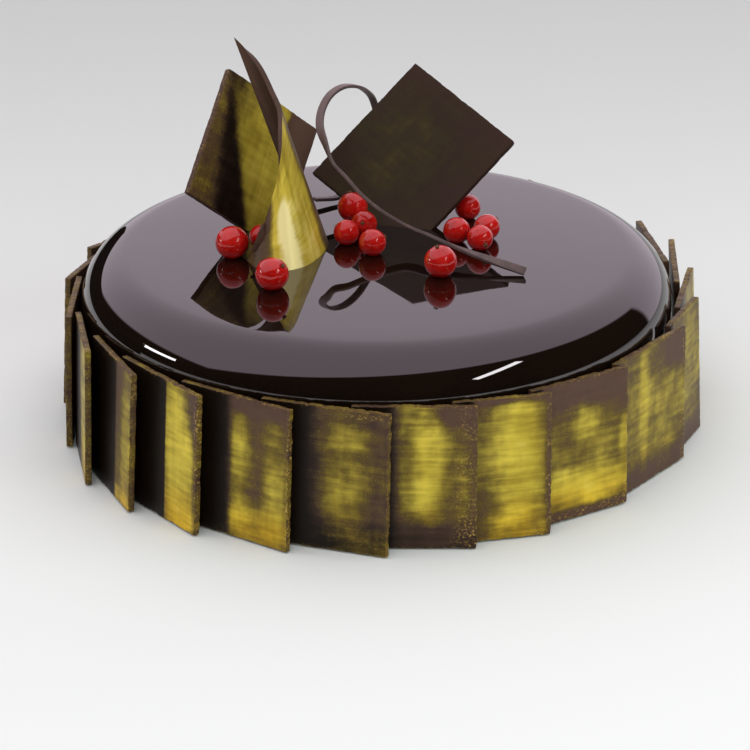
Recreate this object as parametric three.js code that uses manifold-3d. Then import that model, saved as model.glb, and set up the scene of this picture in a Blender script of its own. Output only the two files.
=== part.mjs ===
// Round mirror-glazed chocolate cake with a ring of gilded chocolate panels and a topping of
// two square plaques, one rolled plaque, one curled strip and loose redcurrants.
// Millimetres, +Z up. The origin is the centre of the cake's flat base and the front is -Y.

import * as THREE from 'three';
import { mergeVertices } from 'three/addons/utils/BufferGeometryUtils.js';
import Module from 'manifold-3d';

// ---- Driving dimensions ----------------------------------------------------------------

// Glazed cake: straight side, rounded shoulder and a slightly crowned top.
const CAKE_RADIUS = 90.3;
const SHOULDER_RADIUS = 15.6;
const SHOULDER_CENTRE_HEIGHT = 40.1;
const CROWN_RADIUS = 900;
const BASE_EDGE_RADIUS = 1;
const CAKE_SIDES = 120;
const SHOULDER_STEPS = 10;
const CROWN_STEPS = 5;

// Gap kept between pieces that touch.
const TOUCH_GAP = 0.3;

// Side panels: thin plates standing round the cake, each tucked beneath its left neighbour.
// The inset is from the cake's axis to a panel's inner face at its top, and the foot stands out.
const PANEL_WIDTH = 38;
const PANEL_HEIGHT = 42.8;
const PANEL_THICKNESS = 2.2;
const PANEL_INSET = 90.8;
const PANEL_LEAN = 2.4;
const PANEL_EDGE_ROUGHNESS = 0.3;

// Square plaques on top, and how rough their edges are.
const PLAQUE_THICKNESS = 2;
const PLAQUE_EDGE_ROUGHNESS = 0.25;

// Rolled plaque and curled strip.
const ROLL_THICKNESS = 1.7;
const ROLL_BURIAL = 1.5;
const STRIP_WIDTH = 2.6;
const STRIP_THICKNESS = 1.1;

// Redcurrants: how far each centre sits above the glaze, as a share of its radius.
const CURRANT_SEAT = 0.8;
const CURRANT_SIDES = 16;
const CURRANT_RINGS = 9;
const CALYX_RADIUS = 0.8;
const CALYX_HEIGHT = 0.9;

// Each panel's free edge: its azimuth in degrees, anticlockwise seen from above from the front,
// and how far its foot reaches from the cake's axis. A few panels lean less or are taller.
const PANELS = [
  { edge: -126.1, reach: 102 },
  { edge: -110.2, reach: 100 },
  { edge: -94, reach: 98.8 },
  { edge: -74.6, reach: 98, lean: 1.4 },
  { edge: -58.2, reach: 101.4, lean: 1.4 },
  { edge: -45, reach: 102 },
  { edge: -30.7, reach: 102 },
  { edge: -14.6, reach: 101.5 },
  { edge: 1.6, reach: 101.5 },
  { edge: 16.4, reach: 99.6 },
  { edge: 30, reach: 99.5 },
  { edge: 48.2, reach: 97.9, lean: 1.4 },
  { edge: 70, reach: 98.7, lean: 1.4 },
  { edge: 84, reach: 100.6 },
  { edge: 98.5, reach: 102.2 },
  { edge: 112.8, reach: 105.7 },
  { edge: 122.5, reach: 104.5, taller: 1 },
  { edge: 136.5, reach: 101.5 },
  { edge: 149.3, reach: 103.3, taller: 4 },
  { edge: 166.5, reach: 101.5 },
  { edge: 183.5, reach: 101.5 },
  { edge: 200, reach: 101 },
  { edge: 217, reach: 101.5 },
];

// Front-face corners of the two square plaques. The fourth corner is pressed into the glaze.
const RIGHT_PLAQUE = {
  top: [12, 43.2, 100.5],
  right: [42.3, 20.2, 82.3],
  left: [-20, 24.3, 70.6],
};
const LEFT_PLAQUE = {
  top: [-44.7, 21.5, 105.4],
  right: [-18.4, 39.3, 79.8],
  left: [-56.4, -5.1, 74.4],
};

// The rolled plaque is a ruled surface. Its free edge falls from the tip round the right side
// and across the front, and its foot is an open turn on the glaze from back right to front left.
const ROLL_FREE_EDGE = [
  [-43.7, 28, 113.1],
  [-39.4, 26, 109.3],
  [-35.8, 22, 105.8],
  [-31.8, 15, 99.8],
  [-29.4, 8, 96.5],
  [-29, 0, 92.4],
  [-29, -6, 87.4],
  [-29.7, -11, 80.6],
  [-31.5, -15, 75.1],
  [-33, -18, 70.5],
  [-35.2, -20, 65],
];
const ROLL_FOOT = [
  [-20.6, 1.3],
  [-17.8, 0.4],
  [-16, -2],
  [-15.2, -5.6],
  [-15.8, -11.4],
  [-17.8, -17.2],
  [-21, -23.2],
  [-25.4, -26.8],
  [-30.4, -27.2],
  [-35.3, -24],
  [-38.2, -18.2],
];

// Middle line of the curled strip, from its end lying on the glaze at the right, up across the
// right plaque, round the loop, behind the plaque and down to its hidden end on the glaze.
const STRIP_PATH = [
  [43.7, -29.6, 58.6],
  [34.4, -25.8, 60.5],
  [24.7, -21.1, 62.5],
  [16.7, -15.5, 64.2],
  [9, -9, 65.3],
  [1, -5, 69],
  [-5.1, -1, 73],
  [-9.1, 3, 76.4],
  [-13.3, 8, 79.5],
  [-15.8, 13, 84.2],
  [-17.4, 18, 87.8],
  [-16.9, 23, 91.5],
  [-14.4, 28, 94.7],
  [-10.5, 33, 95.8],
  [-6.2, 38, 94.3],
  [-3.2, 43, 91.1],
  [-1.2, 47, 87.1],
  [0.4, 50, 77.8],
  [-1.5, 47, 67.8],
  [-6.2, 40, 61.4],
  [-12.2, 32, 59.9],
  [-19.5, 28, 60.6],
];
// Direction of the strip's width, evenly spaced along it: upright at the right end, nearly level
// from front to back where it climbs, and facing left round the loop and behind the plaque.
const STRIP_WIDTH_DIRECTIONS = [
  [0.05, 0.6, 0.8],
  [0.15, 0.92, -0.5],
  [0.2, 0.9, -0.4],
  [-0.77, 0.63, 0],
  [-0.77, 0.63, 0],
  [-0.77, 0.63, 0],
  [-0.77, 0.63, 0],
];

// Redcurrants: centre seen from above, radius and the direction of the dry calyx. A currant
// with a height lies on others instead of on the glaze.
const CURRANTS = [
  { at: [-43.3, -14.6], radius: 5.1, calyx: [0.5, 0.6, 0.3] },
  { at: [-30.5, -40], radius: 5, calyx: [0.5, -0.3, 0.5] },
  { at: [-34.7, -7.9], radius: 3.8, calyx: [-0.3, 0.8, 0.3] },
  { at: [-7.4, 8.3], height: 65.1, radius: 4.7, calyx: [-0.2, 0.5, 0.8] },
  { at: [-9.2, -6.5], radius: 4, calyx: [-0.6, 0.5, 0.2] },
  { at: [-3.9, 0.6], radius: 4.1, calyx: [-0.1, -0.9, 0.4] },
  { at: [-1.3, -15.4], radius: 4.2, calyx: [0.7, 0.4, 0.2] },
  { at: [28.1, 17.5], radius: 4.1, calyx: [0.2, 0.7, 0.6] },
  { at: [24.1, -4.4], radius: 4.15, calyx: [-0.4, 0.8, 0.3] },
  { at: [31, -9.9], radius: 4, calyx: [0.35, -0.8, -0.2] },
  { at: [33.5, -0.2], radius: 4, calyx: [0.6, 0.5, 0.4] },
  { at: [18.7, -31.3], radius: 4.95, calyx: [-0.2, -0.1, 0.9] },
];

// ---- Materials --------------------------------------------------------------------------

const glaze = new THREE.MeshStandardMaterial({ color: 0x1f1512, roughness: 0.05, metalness: 0 });
const gilt = new THREE.MeshStandardMaterial({ color: 0x8a7526, roughness: 0.45, metalness: 0.6 });
const chocolate = new THREE.MeshStandardMaterial({ color: 0x35281a, roughness: 0.5, metalness: 0.1 });
const redSkin = new THREE.MeshStandardMaterial({ color: 0xb80f14, roughness: 0.15, metalness: 0 });

// ---- Helpers ----------------------------------------------------------------------------

const wasm = await Module();
wasm.setup();

const vector = ([x, y, z]) => new THREE.Vector3(x, y, z);

// Repeatable small unevenness between -1 and 1.
function unevenness(seed) {
  const wave = Math.sin(seed * 127.1 + 11.7) * 43758.5453;
  return 2 * (wave - Math.floor(wave)) - 1;
}

function toSolid(geometry) {
  const bare = geometry.clone();
  bare.deleteAttribute('normal');
  bare.deleteAttribute('uv');
  const merged = mergeVertices(bare, 1e-4);
  return new wasm.Manifold(new wasm.Mesh({
    numProp: 3,
    vertProperties: new Float32Array(merged.attributes.position.array),
    triVerts: new Uint32Array(merged.index.array),
  }));
}

function toGeometry(solid) {
  const mesh = solid.getMesh();
  const geometry = new THREE.BufferGeometry();
  geometry.setAttribute('position', new THREE.BufferAttribute(mesh.vertProperties, 3));
  geometry.setIndex(new THREE.BufferAttribute(mesh.triVerts, 1));
  return geometry;
}

function namedMesh(name, geometry, material) {
  const mesh = new THREE.Mesh(geometry, material);
  mesh.name = name;
  return mesh;
}

// Closed plate of even thickness around the surface that surfaceAt(u, v) gives for u and v
// from 0 to 1.
function plateAround(surfaceAt, uSteps, vSteps, thickness) {
  const positions = [];
  const triangles = [];
  const small = 1e-3;
  for (const side of [0.5, -0.5]) {
    for (let i = 0; i <= uSteps; i += 1) {
      for (let j = 0; j <= vSteps; j += 1) {
        const u = THREE.MathUtils.clamp(i / uSteps, small, 1 - small);
        const v = THREE.MathUtils.clamp(j / vSteps, small, 1 - small);
        const alongU = surfaceAt(u + small, v).sub(surfaceAt(u - small, v));
        const alongV = surfaceAt(u, v + small).sub(surfaceAt(u, v - small));
        const normal = alongU.cross(alongV).normalize();
        const point = surfaceAt(i / uSteps, j / vSteps).addScaledVector(normal, side * thickness);
        positions.push(point.x, point.y, point.z);
      }
    }
  }
  const row = vSteps + 1;
  const backStart = (uSteps + 1) * row;
  const quad = (a, b, c, d) => triangles.push(a, b, c, a, c, d);
  for (let i = 0; i < uSteps; i += 1) {
    for (let j = 0; j < vSteps; j += 1) {
      const corner = i * row + j;
      const back = backStart + corner;
      quad(corner, corner + row, corner + row + 1, corner + 1);
      quad(back, back + 1, back + row + 1, back + row);
    }
    const low = i * row;
    const high = low + vSteps;
    quad(low, backStart + low, backStart + low + row, low + row);
    quad(high, high + row, backStart + high + row, backStart + high);
  }
  for (let j = 0; j < vSteps; j += 1) {
    const last = uSteps * row + j;
    quad(j, j + 1, backStart + j + 1, backStart + j);
    quad(last, backStart + last, backStart + last + 1, last + 1);
  }
  const geometry = new THREE.BufferGeometry();
  geometry.setAttribute('position', new THREE.Float32BufferAttribute(positions, 3));
  geometry.setIndex(triangles);
  return geometry;
}

// Rectangle outline whose edges waver a little, with sharp corners.
function roughRectangle(width, height, roughness, seed) {
  const corners = [[0, 0], [width, 0], [width, height], [0, height]];
  const pointsPerEdge = 5;
  const outline = [];
  corners.forEach(([x0, y0], edge) => {
    const [x1, y1] = corners[(edge + 1) % 4];
    const length = Math.hypot(x1 - x0, y1 - y0);
    for (let step = 0; step < pointsPerEdge; step += 1) {
      const share = step / pointsPerEdge;
      const inwards = step === 0 ? 0 : (0.5 + 0.5 * unevenness(seed + edge * 7.3 + step)) * roughness;
      outline.push(new THREE.Vector2(
        x0 + (x1 - x0) * share - (y1 - y0) / length * inwards,
        y0 + (y1 - y0) * share + (x1 - x0) / length * inwards,
      ));
    }
  });
  return new THREE.Shape(outline);
}

// ---- Cake -------------------------------------------------------------------------------

// Where the crowned top meets the shoulder arc.
const shoulderCentreRadius = CAKE_RADIUS - SHOULDER_RADIUS;
const crownAngle = Math.asin(shoulderCentreRadius / (CROWN_RADIUS - SHOULDER_RADIUS));
const crownEdgeRadius = CROWN_RADIUS * Math.sin(crownAngle);
const crownCentreHeight = SHOULDER_CENTRE_HEIGHT
  + (SHOULDER_RADIUS - CROWN_RADIUS) * Math.cos(crownAngle);

// Height of the glaze's top at a distance from the cake's axis.
function glazeHeight(x, y) {
  const radius = Math.min(Math.hypot(x, y), crownEdgeRadius);
  return crownCentreHeight + Math.sqrt(CROWN_RADIUS ** 2 - radius ** 2);
}

// Half outline of the cake from the base to the top, grown outwards by an offset.
function cakeOutline(offset) {
  const outline = [new THREE.Vector2(0, -offset)];
  outline.push(new THREE.Vector2(CAKE_RADIUS + offset - BASE_EDGE_RADIUS, -offset));
  outline.push(new THREE.Vector2(CAKE_RADIUS + offset, BASE_EDGE_RADIUS - offset));
  for (let step = 0; step <= SHOULDER_STEPS; step += 1) {
    const angle = (Math.PI / 2 - crownAngle) * step / SHOULDER_STEPS;
    outline.push(new THREE.Vector2(
      shoulderCentreRadius + (SHOULDER_RADIUS + offset) * Math.cos(angle),
      SHOULDER_CENTRE_HEIGHT + (SHOULDER_RADIUS + offset) * Math.sin(angle),
    ));
  }
  for (let step = 1; step <= CROWN_STEPS; step += 1) {
    const angle = crownAngle * (1 - step / CROWN_STEPS);
    outline.push(new THREE.Vector2(
      (CROWN_RADIUS + offset) * Math.sin(angle),
      crownCentreHeight + (CROWN_RADIUS + offset) * Math.cos(angle),
    ));
  }
  return outline;
}

// LatheGeometry turns round Y, so the cake is turned upright.
function cakeGeometry(offset) {
  return new THREE.LatheGeometry(cakeOutline(offset), CAKE_SIDES).rotateX(Math.PI / 2);
}

// Everything that stands on the glaze is cut off just above it.
const glazeCutter = toSolid(cakeGeometry(TOUCH_GAP));

function standOnGlaze(geometry) {
  return toGeometry(toSolid(geometry).subtract(glazeCutter));
}

function glazedCake() {
  return namedMesh('glazed_cake', cakeGeometry(0), glaze);
}

// ---- Side panels ------------------------------------------------------------------------

// Where a panel stands: the azimuth that it faces, how far its free edge lies from there and how
// far its inner face is from the cake's axis at the foot.
function panelPlacing({ edge, reach, lean = PANEL_LEAN }) {
  const footInset = PANEL_INSET + lean;
  const edgeFromFacing = Math.acos((footInset + PANEL_THICKNESS) / reach);
  return {
    facing: THREE.MathUtils.degToRad(edge) - edgeFromFacing,
    freeOffset: reach * Math.sin(edgeFromFacing),
    footInset,
    tilt: lean / PANEL_HEIGHT,
  };
}

// Width that a panel may have before its hidden edge meets its left neighbour's inner face, at
// the top or at the foot.
function roomForPanel(index) {
  const panel = panelPlacing(PANELS[index]);
  const neighbour = panelPlacing(PANELS.at(index - 1));
  const turn = THREE.MathUtils.euclideanModulo(panel.facing - neighbour.facing, 2 * Math.PI);
  const hiddenOffset = (inset, neighbourInset) => (
    ((inset + PANEL_THICKNESS) * Math.cos(turn) - neighbourInset + TOUCH_GAP) / Math.sin(turn)
  );
  const atTop = hiddenOffset(PANEL_INSET, PANEL_INSET);
  const atFoot = hiddenOffset(panel.footInset, neighbour.footInset);
  return panel.freeOffset - Math.max(atTop, atFoot);
}

// Each panel stands along the cake's tangent, ends at its reach and leans in at the top.
function sidePanel(panelData, index) {
  const width = Math.min(PANEL_WIDTH, roomForPanel(index));
  const height = PANEL_HEIGHT + (panelData.taller ?? 0);
  const shape = roughRectangle(width, height, PANEL_EDGE_ROUGHNESS, index * 31);
  const geometry = new THREE.ExtrudeGeometry(shape, { depth: PANEL_THICKNESS, bevelEnabled: false });
  const name = `side_panel_${String(index + 1).padStart(2, '0')}`;
  const panel = namedMesh(name, geometry, gilt);
  const { facing, freeOffset, footInset, tilt } = panelPlacing(panelData);
  panel.rotation.x = Math.PI / 2 - tilt;
  panel.position.set(freeOffset - width, -footInset, 0);
  const turn = new THREE.Group();
  turn.rotation.z = facing;
  turn.add(panel);
  return turn;
}

// ---- Square plaques ---------------------------------------------------------------------

function squarePlaque(name, corners, material, seed) {
  const top = vector(corners.top);
  const alongRight = vector(corners.right).sub(top);
  const alongLeft = vector(corners.left).sub(top);
  const width = alongRight.length();
  const height = alongLeft.length();
  const shape = roughRectangle(width, height, PLAQUE_EDGE_ROUGHNESS, seed);
  const geometry = new THREE.ExtrudeGeometry(shape, { depth: PLAQUE_THICKNESS, bevelEnabled: false });
  const xAxis = alongRight.normalize();
  const zAxis = xAxis.clone().cross(alongLeft).normalize();
  const yAxis = zAxis.clone().cross(xAxis);
  geometry.applyMatrix4(new THREE.Matrix4().makeBasis(xAxis, yAxis, zAxis).setPosition(top));
  return namedMesh(name, standOnGlaze(geometry), material);
}

// ---- Rolled plaque ----------------------------------------------------------------------

function rolledPlaque() {
  const freeEdge = new THREE.CatmullRomCurve3(ROLL_FREE_EDGE.map(vector), false, 'centripetal');
  const foot = new THREE.CatmullRomCurve3(
    ROLL_FOOT.map(([x, y]) => new THREE.Vector3(x, y, glazeHeight(x, y) - ROLL_BURIAL)),
    false,
    'centripetal',
  );
  const surfaceAt = (u, v) => foot.getPoint(u).lerp(freeEdge.getPoint(u), v);
  return namedMesh('rolled_plaque', standOnGlaze(plateAround(surfaceAt, 44, 8, ROLL_THICKNESS)), gilt);
}

// ---- Curled strip -----------------------------------------------------------------------

function curledStrip() {
  const path = new THREE.CatmullRomCurve3(STRIP_PATH.map(vector), false, 'centripetal');
  const widthDirection = new THREE.CatmullRomCurve3(STRIP_WIDTH_DIRECTIONS.map(vector), false, 'catmullrom');
  const surfaceAt = (u, v) => {
    const tangent = path.getTangent(u);
    const across = widthDirection.getPoint(u);
    across.addScaledVector(tangent, -across.dot(tangent)).normalize();
    return path.getPoint(u).addScaledVector(across, (v - 0.5) * STRIP_WIDTH);
  };
  return namedMesh('curled_strip', standOnGlaze(plateAround(surfaceAt, 84, 1, STRIP_THICKNESS)), chocolate);
}

// ---- Redcurrants ------------------------------------------------------------------------

function currant({ at: [x, y], height, radius, calyx }, index) {
  const centre = new THREE.Vector3(x, y, height ?? glazeHeight(x, y) + TOUCH_GAP + CURRANT_SEAT * radius);
  const outwards = vector(calyx).normalize();
  const turn = new THREE.Quaternion().setFromUnitVectors(new THREE.Vector3(0, 1, 0), outwards);
  const body = new THREE.SphereGeometry(radius, CURRANT_SIDES, CURRANT_RINGS).applyQuaternion(turn);
  const tuft = new THREE.CylinderGeometry(CALYX_RADIUS, 0.6 * CALYX_RADIUS, 2 * CALYX_HEIGHT, 7)
    .translate(0, radius, 0)
    .applyQuaternion(turn);
  const geometry = toGeometry(toSolid(body).add(toSolid(tuft)));
  geometry.translate(centre.x, centre.y, centre.z);
  const name = `currant_${String(index + 1).padStart(2, '0')}`;
  return namedMesh(name, standOnGlaze(geometry), redSkin);
}

// ---- Whole object -----------------------------------------------------------------------

const cake = new THREE.Group();
cake.add(glazedCake());
PANELS.forEach((panel, index) => cake.add(sidePanel(panel, index)));
cake.add(squarePlaque('right_plaque', RIGHT_PLAQUE, chocolate, 5));
cake.add(squarePlaque('left_plaque', LEFT_PLAQUE, gilt, 9));
cake.add(rolledPlaque());
cake.add(curledStrip());
CURRANTS.forEach((berry, index) => cake.add(currant(berry, index)));

export default cake;
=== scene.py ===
# Finished look of a mirror-glazed chocolate cake: a glazed body, a ring of gilded chocolate panels,
# two square plaques, a rolled plaque, a curled strip and redcurrants. Metres, +Z up, front at -Y.

import math

import bpy
import numpy as np
from mathutils import Matrix, Vector


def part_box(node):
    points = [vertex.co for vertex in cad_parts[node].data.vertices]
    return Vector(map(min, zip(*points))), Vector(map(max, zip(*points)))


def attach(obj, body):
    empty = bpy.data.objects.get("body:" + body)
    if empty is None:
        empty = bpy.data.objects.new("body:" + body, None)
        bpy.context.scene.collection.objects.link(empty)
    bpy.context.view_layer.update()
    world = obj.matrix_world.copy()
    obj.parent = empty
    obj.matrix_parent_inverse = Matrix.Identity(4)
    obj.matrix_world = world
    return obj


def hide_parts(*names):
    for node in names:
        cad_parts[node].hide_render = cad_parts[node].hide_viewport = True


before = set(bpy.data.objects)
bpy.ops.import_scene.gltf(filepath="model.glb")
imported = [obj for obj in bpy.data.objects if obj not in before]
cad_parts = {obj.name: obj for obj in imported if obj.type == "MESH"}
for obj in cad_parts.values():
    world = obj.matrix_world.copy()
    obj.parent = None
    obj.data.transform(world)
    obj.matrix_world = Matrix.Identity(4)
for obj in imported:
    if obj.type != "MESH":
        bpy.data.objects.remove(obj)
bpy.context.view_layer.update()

MM = 0.001
ALL_NODES = sorted(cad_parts)

# ---- Sizes ----

# Glazed body: rounded shoulder, slightly crowned top and a small round at the base.
SHOULDER_RADIUS = 15.6 * MM
SHOULDER_CENTRE_HEIGHT = 40.1 * MM
CROWN_RADIUS = 900 * MM
BASE_EDGE_RADIUS = 1 * MM
TURNED_STEPS = 288
# The set glaze mirrors like a flatter top than the one it lies on, up to where the shoulder begins.
MIRROR_CROWN_RADIUS = 2400 * MM
MIRROR_EDGE = 76 * MM
MIRROR_EDGE_SOFTNESS = 10 * MM
GLAZE_RIPPLE = 0.06 * MM

# Plates: how far apart the points of their faces lie, their ragged, rounded edges and the waves in
# their faces. A panel is a little thinner than its solid, so that its waves don't reach the glaze.
PLATE_SPACING = 0.7 * MM
PLATE_EDGE_ROUND = 0.22 * MM
PANEL_RAGGEDNESS = 0.5 * MM
PLAQUE_RAGGEDNESS = 0.25 * MM
PANEL_UNEVENNESS = 0.25 * MM
PLAQUE_UNEVENNESS = 0.2 * MM
PANEL_BACK_ROOM = 0.3 * MM

# How far the noise moves on for each edge of a plate and for each plate.
EDGES_APART = 17.3
SEEDS_APART = 0.37
BRUSHWORK_SHIFT = (0.071, 0.043, 0.029)

# Rolled plaque and curled strip, as the middle surface and its thickness. The rolled plaque's foot
# dips into the glaze, and its free edge ends above it.
ROLL_THICKNESS = 1.5 * MM
ROLL_FLAT_SIZE = (62 * MM, 52 * MM, 0)
ROLL_EDGE_LIFT = 1 * MM
GLAZE_DIP = 0.4 * MM
STRIP_WIDTH = 2.5 * MM
STRIP_THICKNESS = 1.0 * MM
STRIP_EDGE_ROUND = 0.15 * MM

CURRANT_RIBS = 11

# Points this close become one.
MERGED_WITHIN = 0.001 * MM

# Reading the solids: how alike the directions of a plate's faces are and how flat its outer face
# is, and how far a currant's skin and its calyx lie from its centre, in shares of its radius.
SAME_DIRECTION = 0.99
FACE_DEPTH = 0.05 * MM
SKIN_TOLERANCE = 0.03
CALYX_FROM = 1.06

ROLL_FREE_EDGE = [
    (-43.7, 28, 113.1), (-39.4, 26, 109.3), (-35.8, 22, 105.8), (-31.8, 15, 99.8), (-29.4, 8, 96.5),
    (-29, 0, 92.4), (-29, -6, 87.4), (-29.7, -11, 80.6), (-31.5, -15, 75.1), (-33, -18, 70.5),
    (-35.2, -20, 65),
]
ROLL_FOOT = [
    (-20.6, 1.3), (-17.8, 0.4), (-16, -2), (-15.2, -5.6), (-15.8, -11.4), (-17.8, -17.2),
    (-21, -23.2), (-25.4, -26.8), (-30.4, -27.2), (-35.3, -24), (-38.2, -18.2),
]
STRIP_PATH = [
    (43.7, -29.6, 58.6), (34.4, -25.8, 60.5), (24.7, -21.1, 62.5), (16.7, -15.5, 64.2),
    (9, -9, 65.3), (1, -5, 69), (-5.1, -1, 73), (-9.1, 3, 76.4), (-13.3, 8, 79.5),
    (-15.8, 13, 84.2), (-17.4, 18, 87.8), (-16.9, 23, 91.5), (-14.4, 28, 94.7), (-10.5, 33, 95.8),
    (-6.2, 38, 94.3), (-3.2, 43, 91.1), (-1.2, 47, 87.1), (0.4, 50, 77.8), (-1.5, 47, 67.8),
    (-6.2, 40, 61.4), (-12.2, 32, 59.9), (-19.5, 28, 60.6),
]
STRIP_WIDTH_DIRECTIONS = [
    (0.05, 0.6, 0.8), (0.15, 0.92, -0.5), (0.2, 0.9, -0.4), (-0.77, 0.63, 0), (-0.77, 0.63, 0),
    (-0.77, 0.63, 0), (-0.77, 0.63, 0),
]

# ---- Brushwork ----

# How each panel was brushed, in shares of the part that shows: across from its left neighbour's
# edge to its own free edge, and up from its foot. The black margin at the left, and how softly it
# ends, is ungilded chocolate under the neighbour's edge, painted black as the shade that falls
# there. Dust is thin brown powder, and strokes is how far the brush went sideways.
# A dab is its place across and up, half width, half height and how thick it lies. A negative one
# wipes powder off. Crumbs are dabs of coarse gold crumbs, and a darker foot has less dust towards
# the bottom of the panel.
PANEL_BRUSHWORK = {
    3: dict(bare=(0.6, 0.2), dust=0.4, dabs=[(0.9, 0.5, 0.2, 0.6, 0.5)]),
    4: dict(bare=(0.6, 0.2), dust=0.4, dabs=[(0.9, 0.5, 0.2, 0.6, 0.7)]),
    5: dict(bare=(0.4, 0.15), dust=0.6, dabs=[(0.8, 0.5, 0.3, 0.7, 0.75)]),
    6: dict(bare=(0.42, 0.08), dust=1.2, dabs=[
        (0.86, 0.55, 0.18, 0.5, 0.75), (0.6, 0.55, 0.2, 0.4, 0.15), (0.6, 0.05, 0.5, 0.08, 0.5),
    ]),
    7: dict(bare=(0.34, 0.04), dust=0.75, dabs=[
        (0.66, 0.52, 0.36, 0.72, 1.1), (0.98, 0.92, 0.26, 0.2, -0.95), (1.0, 0.5, 0.07, 0.6, -0.5),
        (0.7, 0.12, 0.4, 0.12, 0.3),
    ], crumbs=[(0.97, 0.45, 0.04, 0.6, 0.8)]),
    8: dict(bare=(0.14, 0.16), dust=0.8, dabs=[
        (0.37, 0.56, 0.16, 0.36, 0.66), (0.82, 0.5, 0.16, 0.4, 0.6), (0.6, 0.12, 0.42, 0.13, 0.85),
        (0.6, 0.98, 0.6, 0.07, -0.8),
    ], crumbs=[(0.98, 0.4, 0.03, 0.6, 0.7), (0.7, 0.03, 0.4, 0.03, 0.7)]),
    9: dict(bare=(0.02, 0.3), dust=0.62, darker_foot=0.9, strokes=0.65, dabs=[
        (0.5, 0.6, 0.28, 0.26, 0.45), (0.62, 0.8, 0.2, 0.08, 0.25), (0.52, 0.3, 0.24, 0.14, 0.42),
    ], crumbs=[(0.72, 0.96, 0.22, 0.015, 0.9)]),
    10: dict(bare=(-0.08, 0.22), dust=0.8, darker_foot=0.5, strokes=0.8, dabs=[
        (0.47, 0.58, 0.17, 0.46, 0.88), (0.2, 0.58, 0.2, 0.42, 0.45), (0.8, 0.5, 0.14, 0.5, 0.35),
        (0.85, 0.97, 0.35, 0.1, -0.7), (0.5, 0.04, 0.8, 0.1, -0.9),
    ], crumbs=[(0.88, 0.4, 0.12, 0.5, 0.55), (0.9, 0.05, 0.15, 0.06, 0.8)]),
    11: dict(bare=(-0.05, 0.08), dust=0.85, strokes=0.8, dabs=[
        (0.5, 0.5, 0.6, 0.62, 0.72), (0.62, 0.6, 0.2, 0.5, 0.55), (0.12, 0.5, 0.12, 0.5, -0.25),
        (0.5, 1.0, 0.8, 0.045, -0.9), (0.98, 0.5, 0.05, 0.6, -0.5),
    ], crumbs=[(0.97, 0.4, 0.04, 0.6, 0.7), (0.85, 0.05, 0.25, 0.06, 0.8)]),
    12: dict(bare=(-0.05, 0.05), dust=0.85, dabs=[
        (0.5, 0.22, 0.65, 0.13, 1.15), (0.5, 0.58, 0.6, 0.22, 0.45), (0.5, 0.67, 0.13, 0.1, 0.3),
        (0.95, 0.5, 0.05, 0.14, 0.7), (0.5, 1.0, 0.8, 0.15, -0.8), (0.5, 0.0, 0.8, 0.05, -0.9),
    ], crumbs=[(0.97, 0.3, 0.03, 0.4, 0.7), (0.6, 0.04, 0.5, 0.03, 0.8)]),
    13: dict(bare=(-0.05, 0.05), dust=0.85, dabs=[
        (0.5, 0.55, 0.65, 0.5, 0.5), (0.36, 0.58, 0.07, 0.4, 0.5), (0.95, 0.92, 0.3, 0.14, -0.8),
        (0.5, 0.05, 0.8, 0.1, -0.4),
    ], crumbs=[(0.97, 0.4, 0.04, 0.6, 0.7)]),
    14: dict(bare=(-0.05, 0.05), dust=0.85, dabs=[(0.5, 0.6, 0.7, 0.6, 0.5), (0.5, 0.0, 0.8, 0.12, -0.5)]),
    15: dict(bare=(-0.05, 0.05), dust=0.95, dabs=[(0.5, 0.5, 0.8, 0.7, 0.6)]),
}
# The gold is warmer up to this share of a panel's height, and crumbs lie this far in from its edges.
FOOT_WARMTH_SHARE = 0.3
CRUMBLY_EDGE = 0.9 * MM

# The painted shade beside the left plaque's gold, a dark wedge next to the rolled plaque, in
# millimetres: how far right of the cake's middle its tip is, how high it is, and how far it spreads
# to its left and right.
SHADE_WEDGE_TIP = -44.2
SHADE_WEDGE_HEIGHT = 30
SHADE_WEDGE_SPREAD = (4.3, 2.6)

# ---- Studio sizes ----

FLOOR_HALF = 4.0
FLOOR_DROP = 0.3 * MM
LIGHTS_AIM = (0, 0, 0.05)
CARD_FOOT = [(-0.22, 0.62), (-0.50, 0.40), (-0.62, 0.02)]
CARD_HEIGHTS = (0.001, 0.17)


def smooth_line(points, steps):
    """Points on the centripetal Catmull-Rom curve through the given ones, evenly spaced by point."""
    given = np.array(points, float)
    ends = np.vstack([2 * given[0] - given[1], given, 2 * given[-1] - given[-2]])
    line = []
    for share in np.linspace(0, len(given) - 1, steps):
        index = min(int(share), len(given) - 2)
        a, b, c, d = ends[index:index + 4]
        spans = [max(np.linalg.norm(q - p), 1e-9) ** 0.5 for p, q in ((a, b), (b, c), (c, d))]
        start = (b - a) / spans[0] - (c - a) / (spans[0] + spans[1]) + (c - b) / spans[1]
        end = (c - b) / spans[1] - (d - b) / (spans[1] + spans[2]) + (d - c) / spans[2]
        start = start * spans[1]
        end = end * spans[1]
        t = share - index
        line.append(
            b + start * t + (-3 * b + 3 * c - 2 * start - end) * t ** 2
            + (2 * b - 2 * c + start + end) * t ** 3
        )
    return np.array(line)


# ---- Wiring of node trees ----

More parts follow.
